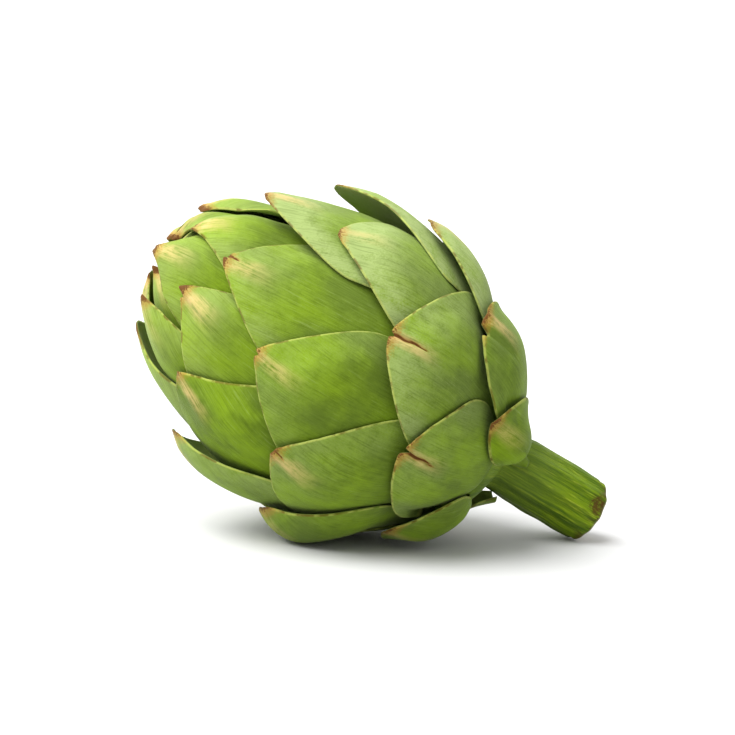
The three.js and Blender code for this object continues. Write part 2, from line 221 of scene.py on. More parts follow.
# The ragged margin: [height, length] of its waves, how far they may stand out, the share of all
# this that shows, and how far back along the shoulders it fades
RAGGED_WAVES = ((0.22, 2.4), (0.35, 9))
RAGGED_OUTWARDS = 0.6
RAGGED_SHARE = 0.5
RAGGED_FADES_OVER = 7
# The blade thins to its sides as a power of the share of the half width, and near its edges.
EDGE_THINNING_POWER = 2.4
THINS_NEAR_EDGE = 9
# The edge is rounded over this distance, down to a share of the thickness.
EDGE_ROUNDING = 0.35
EDGE_LEFT = 0.12
# The margins bend in, as powers of how near they are, until just clear of what lies under them.
SIDE_BEND_POWER = 3
FRONT_BEND_POWER = 2.2
FRONT_BEND_LENGTH = 15
BEND_CLEARANCE = 0.15
# A smaller bend counts as this one, and the bend is smoothed over so many points.
SMALLEST_BEND = 0.02
BEND_SMOOTHING_POINTS = 4
# They bend in this far at most, and less where the tip stands off by more than the last value.
LARGEST_BEND = 3.4
LARGEST_BEND_IF_OFF = 1.2
STANDS_OFF = 0.5
# A bract counts as lying under a point a little past its sides (a share) and its margin, and if
# its number is at most this much higher.
UNDER_SIDES = 1.03
UNDER_MARGIN = 1
UNDER_NUMBERS = 22
# The raised midrib near the tip, and slow waves over the blade
KEEL_HEIGHT = 0.4
KEEL_HALF_WIDTH = 2.5
KEEL_LENGTH = 14
SLOW_WAVE_HEIGHT = 0.16
SLOW_WAVE_LENGTH = 24
SLOW_WAVES_FROM_TIP = 8
# The patterns of one bract are taken this far from those of the next.
PATTERN_STEP = 37.0

# The finer bud: its core, the length of its small bracts, and more of them that close its tip.
# The core's patterns are those of a blade far from its tip and edge.
CORE_SIDES = 96
CORE_ROWS = 60
CORE_TOP_GAP = 0.5
CORE_PATTERN_RADIUS = 8
CORE_FROM_TIP = 30.0
CORE_FROM_EDGE = 9.0
BUD_BRACT_LENGTH = 22
BUD_BRACT_FACES = 24
BUD_CLOSING_BRACTS = 5

# The finer stem: the rings of its cut face from the middle out, and how far the first rings beside
# it are drawn in and how much they have of its colour (a share).
CUT_RINGS = (0.6, 2.5, 4.5, 6.2, 7.6, 8.4, 8.75)
CUT_ROUNDING = (0.9, 0.35, 0.1)
CUT_STAIN = (0.6, 0.2)
CUT_BEVEL = 0.1
CUT_RIB_HEIGHT = 0.2
STEM_RINGS = 60
RECEPTACLE_RINGS = 58
RIBS_FADE_OVER_RINGS = 14
# Low bumps, as waves laid round the stem at a radius. Nearer the axis than the last value it is
# smooth.
STEM_BUMP_HEIGHT = 0.12
STEM_BUMP_LENGTH = 9
STEM_BUMP_RADIUS = 9
SMOOTH_WITHIN = 6
# A bruise by the cut: [towards the front, height, sideways] on the upright stem
BRUISE_AT = (9.2, -25.6, 2.6)

# Seeds of the waves, and how much longer or shorter than asked each wave may be (shares)
BRACT_SEED = 100
STEM_SEED = 7
WAVE_COUNT = 7
WAVE_LENGTHS = (0.7, 1.6)


def path_by_length(points):
    """A Catmull-Rom path through points: its samples and the length run up to each of them.

    Between two points it is the cubic that starts and ends there, with half the step from the
    point before to the point after as its speed at either end.
    """
    corners = np.array(points, float)
    last = len(corners) - 1
    runs = []
    for i in range(last):
        p0, p1, p2, p3 = corners[[max(i - 1, 0), i, i + 1, min(i + 2, last)]]
        t = np.linspace(0, 1, OUTLINE_STEPS, endpoint=False)[:, None]
        v0, v1 = (p2 - p0) / 2, (p3 - p1) / 2
        cubic = (2 * p1 - 2 * p2 + v0 + v1) * t**3
        square = (-3 * p1 + 3 * p2 - 2 * v0 - v1) * t**2
        runs.append(cubic + square + v0 * t + p1)
    samples = np.vstack(runs + [corners[-1:]])
    lengths = np.concatenate([[0], np.cumsum(np.hypot(*np.diff(samples, axis=0).T))])
    return samples, lengths


OUTLINE, OUTLINE_LENGTHS = path_by_length(HEAD_OUTLINE)
RECEPTACLE, RECEPTACLE_LENGTHS = path_by_length(RECEPTACLE_OUTLINE)
TIP_NUMBERS, TIP_DISTANCES = np.array(TIP_PLACES, float).T


def outline_at(place):
    """Radius, height and outward normal of the outline at distances along it.

    The normal stands square on a short chord of the outline, from 1 mm before to 1 mm after.
    """
    def point(s):
        """Radius and height at distances along the outline."""
        s = np.clip(s, 0, OUTLINE_LENGTHS[-1])
        return tuple(np.interp(s, OUTLINE_LENGTHS, values) for values in OUTLINE.T)

    place = np.clip(place, 0, OUTLINE_LENGTHS[-1])
    (r0, z0), (r1, z1) = point(place - 1), point(place + 1)
    size = np.hypot(r1 - r0, z1 - z0)
    radius, height = point(place)
    return radius, height, (z1 - z0) / size, -(r1 - r0) / size


def tip_place(number):
    """How far along the outline the tip of a bract stands."""
    return np.interp(number, TIP_NUMBERS, TIP_DISTANCES)


def layer_depth(number, place):
    """How deep under the outline a bract's outer face lies: one step for each bract over it."""
    return np.maximum(LAYER_STEP * (number - np.interp(place, TIP_DISTANCES, TIP_NUMBERS)), 0)


def press_at(height, angle):
    """How far the belly is pressed in: a bell curve round a place on the underside."""
    sideways = np.arccos(np.clip(-np.sin(angle), -1, 1)) / PRESSED_SPREAD
    lengthways = (height - PRESSED_HEIGHT) / PRESSED_LENGTH
    return PRESSED_DEPTH * np.exp(-(sideways**2) - lengthways**2)


def point_at(place, angle, offset):
    """The point at a place along the outline, an angle round the head and a height off it.

    Towards the crown the whole head leans over to +Y, as the square of the height.
    """
    radius, height, normal_radius, normal_height = outline_at(place)
    fade = np.clip(1 + offset / PRESS_FADES_OVER, 0, 1)
    off = offset - press_at(height, angle) * fade
    r = np.maximum(radius + off * normal_radius, SMALLEST_RADIUS)
    z = height + off * normal_height + 0 * angle
    lean = CROWN_LEAN * np.clip((z - LEANS_FROM) / LEANS_OVER, 0, 1) ** 2
    return np.stack([r * np.cos(angle), r * np.sin(angle) + lean, z], -1)


def lay_down(points):
    """Turns upright millimetres into metres in the frame, pressed flat where they meet the surface.

    The upright X goes to the front, Y to the side and Z along the sloping axis, all from the neck.
    """
    axis = np.array((-math.cos(LYING_TILT), 0, math.sin(LYING_TILT)))
    front = np.array((0, -1, 0))
    side = np.cross(axis, front)
    world = points[..., :1] * front + points[..., 1:2] * side + points[..., 2:] * axis + NECK_AT
    world[..., 2] = np.maximum(world[..., 2], LOWEST_POINT)
    return world * MM


class Waves:
    """Smooth seeded noise: a sum of sine waves of random direction, length and phase."""

    def __init__(self, seed):
        self.random = np.random.default_rng(seed)

    def __call__(self, x, y, length):
        total = np.zeros(np.broadcast(x, y).shape)
        for _ in range(WAVE_COUNT):
            turn, phase = self.random.uniform(0, 2 * math.pi, 2)
            wave = 2 * math.pi / (length * self.random.uniform(*WAVE_LENGTHS))
            total += np.sin(wave * (x * math.cos(turn) + y * math.sin(turn)) + phase)
        return total / math.sqrt(WAVE_COUNT)


# ---------------------------------------------------------------------------
# Settings
# ---------------------------------------------------------------------------

def colour(name, description, default):
    """A colour that a user can change."""
    return FloatVectorProperty(
        name=name, description=description, default=default, subtype="COLOR", size=3, min=0, max=1)


class ArtichokeBractSettings(bpy.types.PropertyGroup):
    """Sizes and colours of the bracts."""

    columns: IntProperty(name="Columns", description="Faces across one bract", default=64, min=8, max=80)
    rows: IntProperty(name="Rows", description="Faces along one bract", default=56, min=8, max=90)
    thickness: FloatProperty(
        name="Thickness", description="Thickness along the midrib of an outer bract",
        default=1.3 * MM, unit="LENGTH", min=0.0006, max=0.004)
    inner_thickness: FloatProperty(
        name="Inner thickness", description="Thickness along the midrib of a bract near the crown",
        default=0.85 * MM, unit="LENGTH", min=0.0006, max=0.004)
    edge_thickness: FloatProperty(
        name="Edge thickness", description="Thickness just inside the edge",
        default=0.62 * MM, unit="LENGTH", min=0.0003, max=0.002)
    green: colour("Green", "Deep green of the covered part of a bract", (0.070, 0.118, 0.003))
    vivid: colour("Vivid green", "Yellow-green of the open part", (0.150, 0.245, 0.003))
    # The bloom colour is also the colour of the painted highlight on the bracts that face the light from
    # above.
    bloom: colour("Bloom", "Grey-green bloom on the outer face", (0.265, 0.340, 0.115))
    young: colour("Young green", "Pale fresh green of the bracts near the crown", (0.31, 0.42, 0.040))
    inner: colour("Inner face", "Green of the face towards the bud", (0.210, 0.29, 0.060))
    rim: colour("Rim", "Pale rim along the edge", (0.33, 0.36, 0.08))
    streak: colour("Streak", "Tan streak running down from the tip", (0.55, 0.375, 0.165))
    halo: colour("Halo", "Orange-brown round the dried tips", (0.30, 0.14, 0.025))
    brown: colour("Brown", "Dried brown of the tips", (0.085, 0.026, 0.006))


class ArtichokeStemSettings(bpy.types.PropertyGroup):
    """Sizes and colours of the stem."""

    sides: IntProperty(name="Sides", description="Faces round the stem", default=176, min=24, max=400)
    green: colour("Green", "Green of the grooves", (0.052, 0.105, 0.002))
    light: colour("Light green", "Green of the ribs", (0.19, 0.29, 0.006))
    pale: colour("Pale streaks", "Yellow-green streaks along the ribs", (0.36, 0.43, 0.035))
    dull: colour("Dull green", "Grey-green near the head and in patches", (0.095, 0.15, 0.022))
    bruise: colour("Bruise", "Brown marks by the cut", (0.070, 0.032, 0.005))
    cut: colour("Cut", "The dried face of the cut", (0.36, 0.33, 0.15))


class ArtichokeStageSettings(bpy.types.PropertyGroup):
    """Surface, camera and light."""

    surface: colour("Surface", "Pale surface under the artichoke", (0.56, 0.56, 0.56))
    surface_radius: FloatProperty(
        name="Surface radius", description="Radius of the surface, whose edge is out of sight",
        default=25, unit="LENGTH", min=1)
    lens: FloatProperty(name="Lens", description="Focal length, in mm", default=85, min=20, max=200)
    azimuth: FloatProperty(
        name="Azimuth", description="Where the camera stands round the artichoke",
        default=math.radians(-19.02), subtype="ANGLE")
    elevation: FloatProperty(
        name="Elevation", description="How high the camera stands over the surface",
        default=math.radians(6.34), subtype="ANGLE")
    roll: FloatProperty(
        name="Roll", description="How far the camera is turned about its view",
        default=math.radians(4.93), subtype="ANGLE")
    distance: FloatProperty(
        name="Distance", description="From the camera to the middle of the view",
        default=0.4787, unit="LENGTH")
    aim: FloatVectorProperty(
        name="Aim", description="The middle of the view", subtype="TRANSLATION", unit="LENGTH",
        size=3, default=(-3.999 * MM, 2.929 * MM, 46.659 * MM))
    ambient: FloatProperty(name="Ambient", description="Light from the bright side", default=1.42, min=0)
    shade: FloatProperty(name="Shade", description="Light from the dim side", default=0.4, min=0)
    bright_side: FloatVectorProperty(
        name="Bright side", description="Where the brighter light from all round comes from",
        subtype="XYZ", size=3, default=(-0.55, 0.75, 0.35))
    key: FloatProperty(name="Key", description="Strength of the light from above", default=5.9, min=0)
    key_from: FloatVectorProperty(
        name="Key from", description="Where the light from above comes from", subtype="XYZ", size=3,
        default=(-0.65, -0.15, 1.0))
    softness: FloatProperty(
        name="Softness", description="How wide the light from above is", subtype="ANGLE",
        default=math.radians(50))


# ---------------------------------------------------------------------------
# Meshes
# ---------------------------------------------------------------------------

def grid_quads(rows, columns, start=0, wrap=False, flip=False):
    """The quads of a grid of points, as an array of four corners each."""
    width = columns if wrap else columns + 1
    row = np.arange(rows)[:, None]
    column = np.arange(columns)[None, :]
    a = row * width + column
    b = row * width + (column + 1) % width
    quads = np.stack([a, b, b + width, a + width], -1).reshape(-1, 4) + start
    return quads[:, ::-1] if flip else quads


def turned_quads(rows, sides):
    """The quads of a form turned round its axis, and the two fans that close its ends."""
    first = list(range(sides))
    return grid_quads(rows, sides, wrap=True), [first[::-1], [rows * sides + i for i in first]]


def angles_round(sides):
    """Equal angles round the axis, as one row."""
    return (np.arange(sides) * 2 * math.pi / sides)[None, :]


def make_piece(name, points, quads, attributes, material, node, fans=()):
    """An object at the origin from points in metres, quads, and named values for each point."""
    mesh = bpy.data.meshes.new(name)
    mesh.from_pydata(points.tolist(), [], quads.tolist() + [list(fan) for fan in fans])
    mesh.polygons.foreach_set("use_smooth", np.ones(len(mesh.polygons), bool))
    for key, values in attributes.items():
        values = np.asarray(values, np.float32)
        if values.ndim == 1:
            mesh.attributes.new(key, "FLOAT", "POINT").data.foreach_set("value", values)
        else:
            mesh.attributes.new(key, "FLOAT_VECTOR", "POINT").data.foreach_set("vector", values.ravel())
    mesh.update()
    mesh.materials.append(material)
    piece = bpy.data.objects.new(name, mesh)
    bpy.context.collection.objects.link(piece)
    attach(piece, "root")
    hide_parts(node)
    return piece


def blade_thickness(number, settings):
    """The thickness along the midrib, which falls evenly towards the crown."""
    share = np.clip((number - LAST_OUTER_BRACT) / (FIRST_INNER_BRACT - LAST_OUTER_BRACT), 0, 1)
    return (settings.thickness * (1 - share) + settings.inner_thickness * share) / MM


def base_place(number, tip, thickness):
    """Where a bract ends below: the place where one of its faces comes near the receptacle."""
    place = np.arange(tip, LOWEST_BASE, -BASE_STEP)
    depth = layer_depth(number, place)
    nearest = np.full(len(place), np.inf)
    for under in (depth, depth + thickness):
        face = point_at(place, np.zeros_like(place), -under)
        gaps = np.hypot(face[:, None, 0] - RECEPTACLE[None, :, 0], face[:, None, 2] - RECEPTACLE[None, :, 1])
        nearest = np.minimum(nearest, gaps.min(1))
    reached = np.flatnonzero(nearest < BASE_GAP)
    return place[reached[0]] if len(reached) else LOWEST_BASE


def middle_angle(number, stray):
    """The angle round the head of a bract's midrib."""
    return FIRST_BRACT_ANGLE + math.radians(stray["turn"]) - GOLDEN_ANGLE * (number - 1)


def margin_at(side, shoulder):
    """How far the front margin falls back from the tip at a share of the half width."""
    past = (np.hypot(side, TIP_ROUNDING) - TIP_ROUNDING) / (math.hypot(1, TIP_ROUNDING) - TIP_ROUNDING)
    return shoulder * (1 - np.clip(1 - past, 0, 1) ** (1 / SHOULDER_POWER))


def front_margin(stray, side, shoulder, trimmed):
    """The front margin of a bract with a blunt tip, trimmed where the tips end round the top."""
    return np.maximum(np.hypot(margin_at(side, shoulder), stray["blunt"]), trimmed)


def lift_at(stray, from_tip, side):
    """How far a bract stands off: most at the tip, and less at its sides, like a spoon.

    The flare is a power of how near the tip is, the bulge is a bell curve behind it, and both
    fall towards the sides as the square of the share of the half width.
    """
    flare = stray["lift"] * np.clip(1 - from_tip / stray["free"], 0, 1) ** FLARE_POWER
    bulge = stray["bulge"] * np.exp(-(((from_tip - BULGE_AT) / BULGE_LENGTH) ** 2))
    return (flare + bulge) * (1 - stray["cup"] * side**2)


def narrowed(from_tip, long):
    """The half width at a distance from the tip, as a share: it falls towards the base."""
    return 1 - BASE_NARROWING * (from_tip / long) ** 2


def skewed(across, skew):
    """Shifts shares of the half width so that the tip stands to one side and the edges stay."""
    return across + skew * (1 - across**2)


def unskewed(across, skew):
    """The inverse of skewed."""
    return (1 - np.sqrt(np.clip(1 - 4 * skew * (across - skew), 0, None))) / (2 * skew) if skew else across


def plan_of(number, thick, length=None):
    """The main sizes of a bract: how it strays, its tip, base, shoulder and middle angle."""
    stray = {**USUAL, **STRAYS.get(number, {})}
    tip = tip_place(number) + stray["reach"]
    base = tip - length if length else base_place(number, tip, thick)
    radius = outline_at(tip - SHOULDER_BEHIND_TIP)[0]
    shoulder = min(SHOULDER_PER_RADIUS * radius, LONGEST_SHOULDER * (tip - base))
    return stray, tip, base, shoulder, middle_angle(number, stray)


def room_below(number, place, angle, under, plans):
    """How far each point of a bract's inner face stands off what lies under it.

    That is the next bract inwards that reaches over the same place and angle, or the core.
    """
    below = layer_depth(BRACT_COUNT + BUD_BRACTS, place) + BUD_CLEARANCE + 0 * angle
    for other in range(number + 1, min(number + UNDER_NUMBERS, BRACT_COUNT) + 1):
        stray, tip, base, shoulder, middle = plans[other]
        turned = np.angle(np.exp(1j * (angle - middle)))
        from_tip = tip - place
        spread = HALF_SPREAD * stray["width"] * narrowed(from_tip, tip - base)
        side = np.abs(unskewed(turned / spread, stray["skew"]))
        margin = front_margin(stray, np.minimum(side, 1), shoulder, tip - TIPS_END)
        over = (side < UNDER_SIDES) & (place > base) & (from_tip > margin - UNDER_MARGIN)
        face = layer_depth(other, place) - lift_at(stray, from_tip, np.minimum(side, 1))
        below = np.where(over, np.minimum(below, face), below)
    return below - under


def eased(field, reach):
    """A smooth field that is nowhere above the given one: local minima, then local means."""
    for reduce in (np.min, np.mean):
        for axis in (0, 1):
            pad = [(reach, reach) if i == axis else (0, 0) for i in (0, 1)]
            wide = np.pad(field, pad, mode="edge")
            count = field.shape[axis]
            field = reduce([np.take(wide, range(k, k + count), axis) for k in range(2 * reach + 1)], axis=0)
    return field


def blade_grid(columns, rows):
    """The shares u across a blade, from -1 to 1, and v down it, from 0 to 1.

    The columns crowd towards the sides and the midrib as a sine is taken off equal steps, and the
    rows towards the front margin as a part of equal steps is squared.
    """
    t = np.linspace(-1, 1, columns + 1)[None, :]
    u = t - COLUMN_CROWDING / (2 * math.pi) * np.sin(2 * math.pi * t)
    t = np.linspace(0, 1, rows + 1)[:, None]
    v = ROW_SPACING_AT_FRONT * t + (1 - ROW_SPACING_AT_FRONT) * t**2
    return u, v


def crack_at(number, across, from_tip):
    """How far inside a crack each point is: 1 in its middle and 0 past its soft edge.

    A crack follows a sine of the distance from the tip and narrows as the root of what is left
    of its length.
    """
    crack = np.zeros(across.shape)
    for at, long, wide in CRACKS.get(number, ()):
        off_line = np.abs(across - at - CRACK_WANDER * np.sin(from_tip / CRACK_TURNS))
        half_width = wide * np.sqrt(np.clip(1 - from_tip / long, CRACK_TAPER, 1))
        here = np.clip(CRACK_EDGE - off_line / half_width, 0, 1) * (from_tip < long)
        crack = np.maximum(crack, here)
    return crack


def ragged_front(number, waves, u, width, front, fall):
    """The front margin with its ragged waves, which fade down the shoulders, and its notches."""
    ragged = sum(high * waves(u * width, 0 * u, long) for high, long in RAGGED_WAVES)
    shown = RAGGED_SHARE * np.exp(-fall / RAGGED_FADES_OVER)
    margin = front + shown * np.maximum(ragged, -RAGGED_OUTWARDS)
    for at, deep, wide in NOTCHES.get(number, ()):
        margin = margin + deep * np.clip(1 - np.abs(u * width - at) / wide, 0, 1)
    return margin


def blade_quads(columns, rows):
    """The quads of a closed blade: its outer face, its inner face and the wall round its rim."""
    count = (rows + 1) * (columns + 1)
    grid = np.arange(count).reshape(rows + 1, columns + 1)
    rim = np.concatenate([grid[0, :-1], grid[:-1, -1], grid[-1, :0:-1], grid[:0:-1, 0]])
    following = np.roll(rim, -1)
    return np.vstack([
        grid_quads(rows, columns, flip=True),
        grid_quads(rows, columns, start=count),
        np.stack([rim, following, following + count, rim + count], -1),
    ])


def bract_shape(number, settings, plans, length=None):
    """The points and quads of one bract, with its own measures for the material.

    Across the blade runs u and down it v. The margin is a shoulder that falls away from a blunt
    tip as a power of u. Each point stands at its distance from the tip along the outline, at its
    angle round the head, and as deep under the outline as its layer. Towards the margins the
    blade bends in until it nearly lies on what is under it. A low keel along the midrib and slow
    waves are added. The blade thins towards its edges, where it is rounded like a quarter circle.
    """
    waves = Waves(BRACT_SEED + number)
    thick = blade_thickness(number, settings)
    thin = settings.edge_thickness / MM
    stray, tip, base, shoulder, middle = plans.get(number) or plan_of(number, thick, length)
    long = tip - base
    widest = HALF_SPREAD * stray["width"]

    columns, rows = (BUD_BRACT_FACES, BUD_BRACT_FACES) if length else (settings.columns, settings.rows)
    u, v = blade_grid(columns, rows)
    side = np.abs(u)
    width = widest * outline_at(tip - SHOULDER_BEHIND_TIP)[0]
    front = front_margin(stray, side, shoulder, 0 if length else tip - TIPS_END)
    margin = ragged_front(number, waves, u, width, front, margin_at(side, shoulder))
    from_tip = margin + (long - margin) * v
    place = tip - from_tip
    spread = widest * narrowed(from_tip, long)
    angle = middle + skewed(u, stray["skew"]) * spread
    radius = outline_at(place)[0]
    across = u * spread * radius
    crack = crack_at(number, across, from_tip)

    from_side = (1 - side) * spread * radius
    slant = np.gradient(front[0], u[0] * width)
    from_front = (from_tip - margin) / np.sqrt(1 + slant**2)[None, :]
    from_edge = np.minimum(from_side, from_front)
    body = thick + (thin - thick) * side**EDGE_THINNING_POWER
    body = thin + (body - thin) * np.clip(from_edge / THINS_NEAR_EDGE, 0, 1)

    depth = layer_depth(number, place) - lift_at(stray, from_tip, side)
    front_bend = np.clip(1 - from_front / FRONT_BEND_LENGTH, 0, 1) ** FRONT_BEND_POWER
    bend = 1 - (1 - side**SIDE_BEND_POWER) * (1 - front_bend)
    room = np.maximum(room_below(number, place, angle, depth + body, plans) - BEND_CLEARANCE, 0)
    most = LARGEST_BEND if stray["lift"] < STANDS_OFF else LARGEST_BEND_IF_OFF
    tuck = bend * eased(np.minimum(room / np.maximum(bend, SMALLEST_BEND), most), BEND_SMOOTHING_POINTS)
    keel = KEEL_HEIGHT * np.exp(-((across / KEEL_HALF_WIDTH) ** 2)) * np.exp(-from_tip / KEEL_LENGTH)
    slow = SLOW_WAVE_HEIGHT * waves(across, from_tip, SLOW_WAVE_LENGTH)
    slow = slow * np.clip(from_tip / SLOW_WAVES_FROM_TIP, 0, 1) * (1 - bend)
    offset = keel + slow - tuck - depth - CRACK_DEPTH * crack
    rounding = np.sqrt(np.clip(1 - (1 - np.clip(from_edge / EDGE_ROUNDING, 0, 1)) ** 2, 0, 1))
    shaved = body * (1 - EDGE_LEFT) * (1 - rounding) / 2
    outer = point_at(place, angle, offset - shaved)
    inner = point_at(place, angle, offset - body + shaved)

    count = place.size

    def both(values):
        """Values for the outer face and again for the inner face."""
        return np.concatenate([np.broadcast_to(values, place.shape).ravel()] * 2)

    pattern_at = np.full(2 * count, PATTERN_STEP * number)
    measures = {
        "blade": np.stack([both(across), both(from_tip - front.min()), pattern_at], -1),
        "from_edge": both(from_edge),
        "crack": both(crack),
        "inside": np.concatenate([np.zeros(count), np.ones(count)]),
        "young": np.full(2 * count, np.clip((number - LAST_OUTER_BRACT) / YOUNG_AFTER, 0, 1)),
        # The bloom amount of the bract, which is partly a painted highlight on the top bracts and partly
        # painted shade on some that face away.
        "bloom": np.full(2 * count, BLOOM_AND_HIGHLIGHT.get(number, USUAL_BLOOM)),
    }
    points = lay_down(np.concatenate([outer.reshape(-1, 3), inner.reshape(-1, 3)]))
    return points, blade_quads(columns, rows), measures


def bud_core():
    """The core under the small bracts: the outline turned round the axis, under their last layer."""
    place = np.linspace(BUD_FOOT, OUTLINE_LENGTHS[-1] - CORE_TOP_GAP, CORE_ROWS + 1)[:, None]
    angle = angles_round(CORE_SIDES)
    under = layer_depth(BRACT_COUNT + BUD_BRACTS, place) + BUD_CLEARANCE
    core = point_at(place, angle, -under + 0 * angle)
    points = lay_down(core.reshape(-1, 3))
    count = len(points)
    across = np.broadcast_to(angle * CORE_PATTERN_RADIUS, core.shape[:2]).ravel()
    blade = np.stack([across, np.full(count, CORE_FROM_TIP), np.zeros(count)], -1)
    measures = {
        "blade": blade,
        "from_edge": np.full(count, CORE_FROM_EDGE),
        "crack": np.zeros(count),
        "inside": np.zeros(count),
        "young": np.ones(count),
        "bloom": np.zeros(count),
    }
    return points, *turned_quads(CORE_ROWS, CORE_SIDES), measures


def stem_shape(sides):
    """The stem and the receptacle, as rings from the cut face to the top of the receptacle.

    Each ring is a circle with ribs, a cosine of the angle, and low bumps. Towards the cut the
    stem swells evenly and droops as a power of the distance from the neck.
    """
    top_radius, top = RECEPTACLE_OUTLINE[0]
    cut_radius = STEM_RADIUS + STEM_SWELL_AT_CUT
    along = np.linspace(0, 1, STEM_RINGS)
    radius = cut_radius + (top_radius - cut_radius) * along
    radius[:len(CUT_ROUNDING)] -= CUT_ROUNDING
    height = (STEM_END + CUT_BEVEL) + (top - STEM_END - CUT_BEVEL) * along
    steps = np.linspace(0, RECEPTACLE_LENGTHS[-1], RECEPTACLE_RINGS + 2)[1:-1]
    upper = [np.interp(steps, RECEPTACLE_LENGTHS, RECEPTACLE[:, i]) for i in (0, 1)]
    radii = np.concatenate([CUT_RINGS, radius, upper[0]])
    heights = np.concatenate([np.full(len(CUT_RINGS), STEM_END), height, upper[1]])

    ribs = np.concatenate([
        np.linspace(0, CUT_RIB_HEIGHT, len(CUT_RINGS)),
        np.full(STEM_RINGS, STEM_RIB_HEIGHT),
        STEM_RIB_HEIGHT * np.clip(1 - np.arange(RECEPTACLE_RINGS) / RIBS_FADE_OVER_RINGS, 0, 1),
    ])
    cut = np.concatenate([
        np.ones(len(CUT_RINGS)), CUT_STAIN, np.zeros(STEM_RINGS - len(CUT_STAIN) + RECEPTACLE_RINGS),
    ])
    droop = STEM_DROOP * np.clip((top - heights) / (top - STEM_END), 0, 1) ** STEM_DROOP_POWER
    angle = angles_round(sides)
    r, z, ribs, cut, droop = (ring[:, None] for ring in (radii, heights, ribs, cut, droop))
    bumps = STEM_BUMP_HEIGHT * Waves(STEM_SEED)(angle * STEM_BUMP_RADIUS, z + 0 * angle, STEM_BUMP_LENGTH)
    r = r + ribs * np.cos(STEM_RIBS * angle) + bumps * (r > SMOOTH_WITHIN)
    upright = np.stack([r * np.cos(angle), r * np.sin(angle) - droop, z + 0 * angle], -1)

    around = STEM_RADIUS * np.stack([np.cos(angle), np.sin(angle)]) + 0 * r
    blade = np.stack([around[0], z + 0 * r, around[1]], -1)
    measures = {"blade": blade.reshape(-1, 3), "cut": (cut + 0 * r).ravel()}
    return lay_down(upright.reshape(-1, 3)), *turned_quads(len(radii) - 1, sides), measures


# ---------------------------------------------------------------------------
# Materials
# ---------------------------------------------------------------------------

# Patterns: how fine they are across and along a blade and from bract to bract (per mm), with
# their detail and roughness. The stem's lie in the space round it, with its height as second.
BRACT_PATTERNS = {
    "patches": ((0.085, 0.05, 1.0), 2, 0.5),
    "mottle": ((0.4, 0.28, 1.0), 5, 0.6),
    "specks": ((2.2, 1.6, 1.0), 2, 0.5),
    "worn": ((0.3, 0.3, 1.0), 3, 0.5),
}
STEM_PATTERNS = {
    "broad": ((0.35, 0.02, 1.0), 3, 0.5),
    "mottle": ((0.6, 0.35, 1.0), 4, 0.5),
    "specks": ((1.6, 1.1, 1.6), 2, 0.5),
}
FIBRE_STRETCH = (1.0, 0.045, 1.0)
# The scale, detail and share of the broad and of the fine fibres
BROAD_FIBRES = (0.9, 3, 0.6)
FINE_FIBRES = (2.6, 2, 0.4)
BRACT_FIBRE_FINENESS = 2.4
STEM_FIBRE_FINENESS = 2.2

# Where a bract's colours set in, in mm: none of it at the first value, and all at the second
COVERED_FROM_TIP = (22, 40)
OPEN_FROM_EDGE = (13, 1)
OPEN_FROM_TIP = (24, 5)
STREAK_FROM_MIDRIB = (2.8, 0)
STREAK_FROM_TIP = (17, 4)
RIM_FROM_EDGE = (0.7, 0.15)
DRY_FROM_EDGE = (0.7, 0.1)
DRY_FROM_TIP = (26, 8)
BROWN_FROM_TIP = (3.2, 2.2)
HALO_FROM_TIP = (5.6, 2.8)
# The same for the levels of its patterns
VIVID_TONE = (0.42, 0.82)
BLOOM_DUST = (-0.3, 0.42)
DARK_FIBRES = (0.52, 0.36)
PALE_FIBRES = (0.56, 0.7)
STREAK_TORN = (0.38, 0.64)
RIM_WORN = (0.35, 0.55)
DRY_WORN = (0.55, 0.42)
BROWN_IN_CRACK = (0.5, 0.95)
# The patterns add up to the tones that the colours follow, each with its weight.
VIVID_BY = {"patches": 0.9, "mottle": 0.35}
DUST_BY = {"mottle": 0.55, "specks": 0.45, "patches": -0.7}
TORN_BY = {"mottle": 0.5, "streaks": 0.6}
# How much there is of something, as a straight line: [slope, start]
YOUNG_WHERE_OPEN = (0.27, 0.03)
BLOOM_WHERE_OPEN = (0.7, 0.25)
STREAK_BY_BRACT = (0.7, 0.25)
ROUGHNESS_BY_MOTTLE = (0.25, 0.42)
# How much each colour covers those under it where it is full (a share)
BRACT_COVER = {
    "covered": 0.45, "dark fibres": 0.3, "pale fibres": 0.25, "rim": 0.6, "dry edge": 0.7,
    "halo": 0.6, "crack halo": 0.8, "brown": 0.9, "inside": 0.75,
}
# The dark fibres have this share of the deep green.
FIBRE_DARKNESS = 0.5
# Noise lies round this level, between 0 and 1.
MIDDLE_LEVEL = 0.5
# How a streak wanders with the patches and widens with the distance from the tip, in mm, and how
# specks and youth push the dried edge and tip outwards or inwards
STREAK_WANDER = 7
STREAK_WIDENING = 0.09
SPECKS_AT_EDGE = 0.7
SPECKS_AT_TIP = 4
YOUNG_TIP_BROWNER = 1.6

# The same for the stem: its heights in mm, the levels of its patterns and the bruise
DULL_NEAR_HEAD = (-17, -3)
MARKS_NEAR_CUT = (-24, -28)
RIB_TONE = (0.38, 0.62)
PALE_STREAKS = (0.54, 0.66)
DULL_MOTTLE = (0.5, 0.75)
MARKS_MOTTLE = (0.47, 0.55)
BRUISE_REACH = (1.5, -0.3)
BRUISE_SPECKS = (0.3, 0.54)
BRUISE_RAGGED = 4
RIBS_BY = {"broad": 0.5, "streaks": 0.5}
STEM_COVER = {
    "pale streaks": 0.6, "dull patches": 0.4, "dull near the head": 0.55,
    "marks near the cut": 0.75, "bruise": 0.9,
}

# The surface: its sides, and its darkest shade beside the palest (a share)
SURFACE_SIDES = 64
SURFACE_DARKEST = 0.985


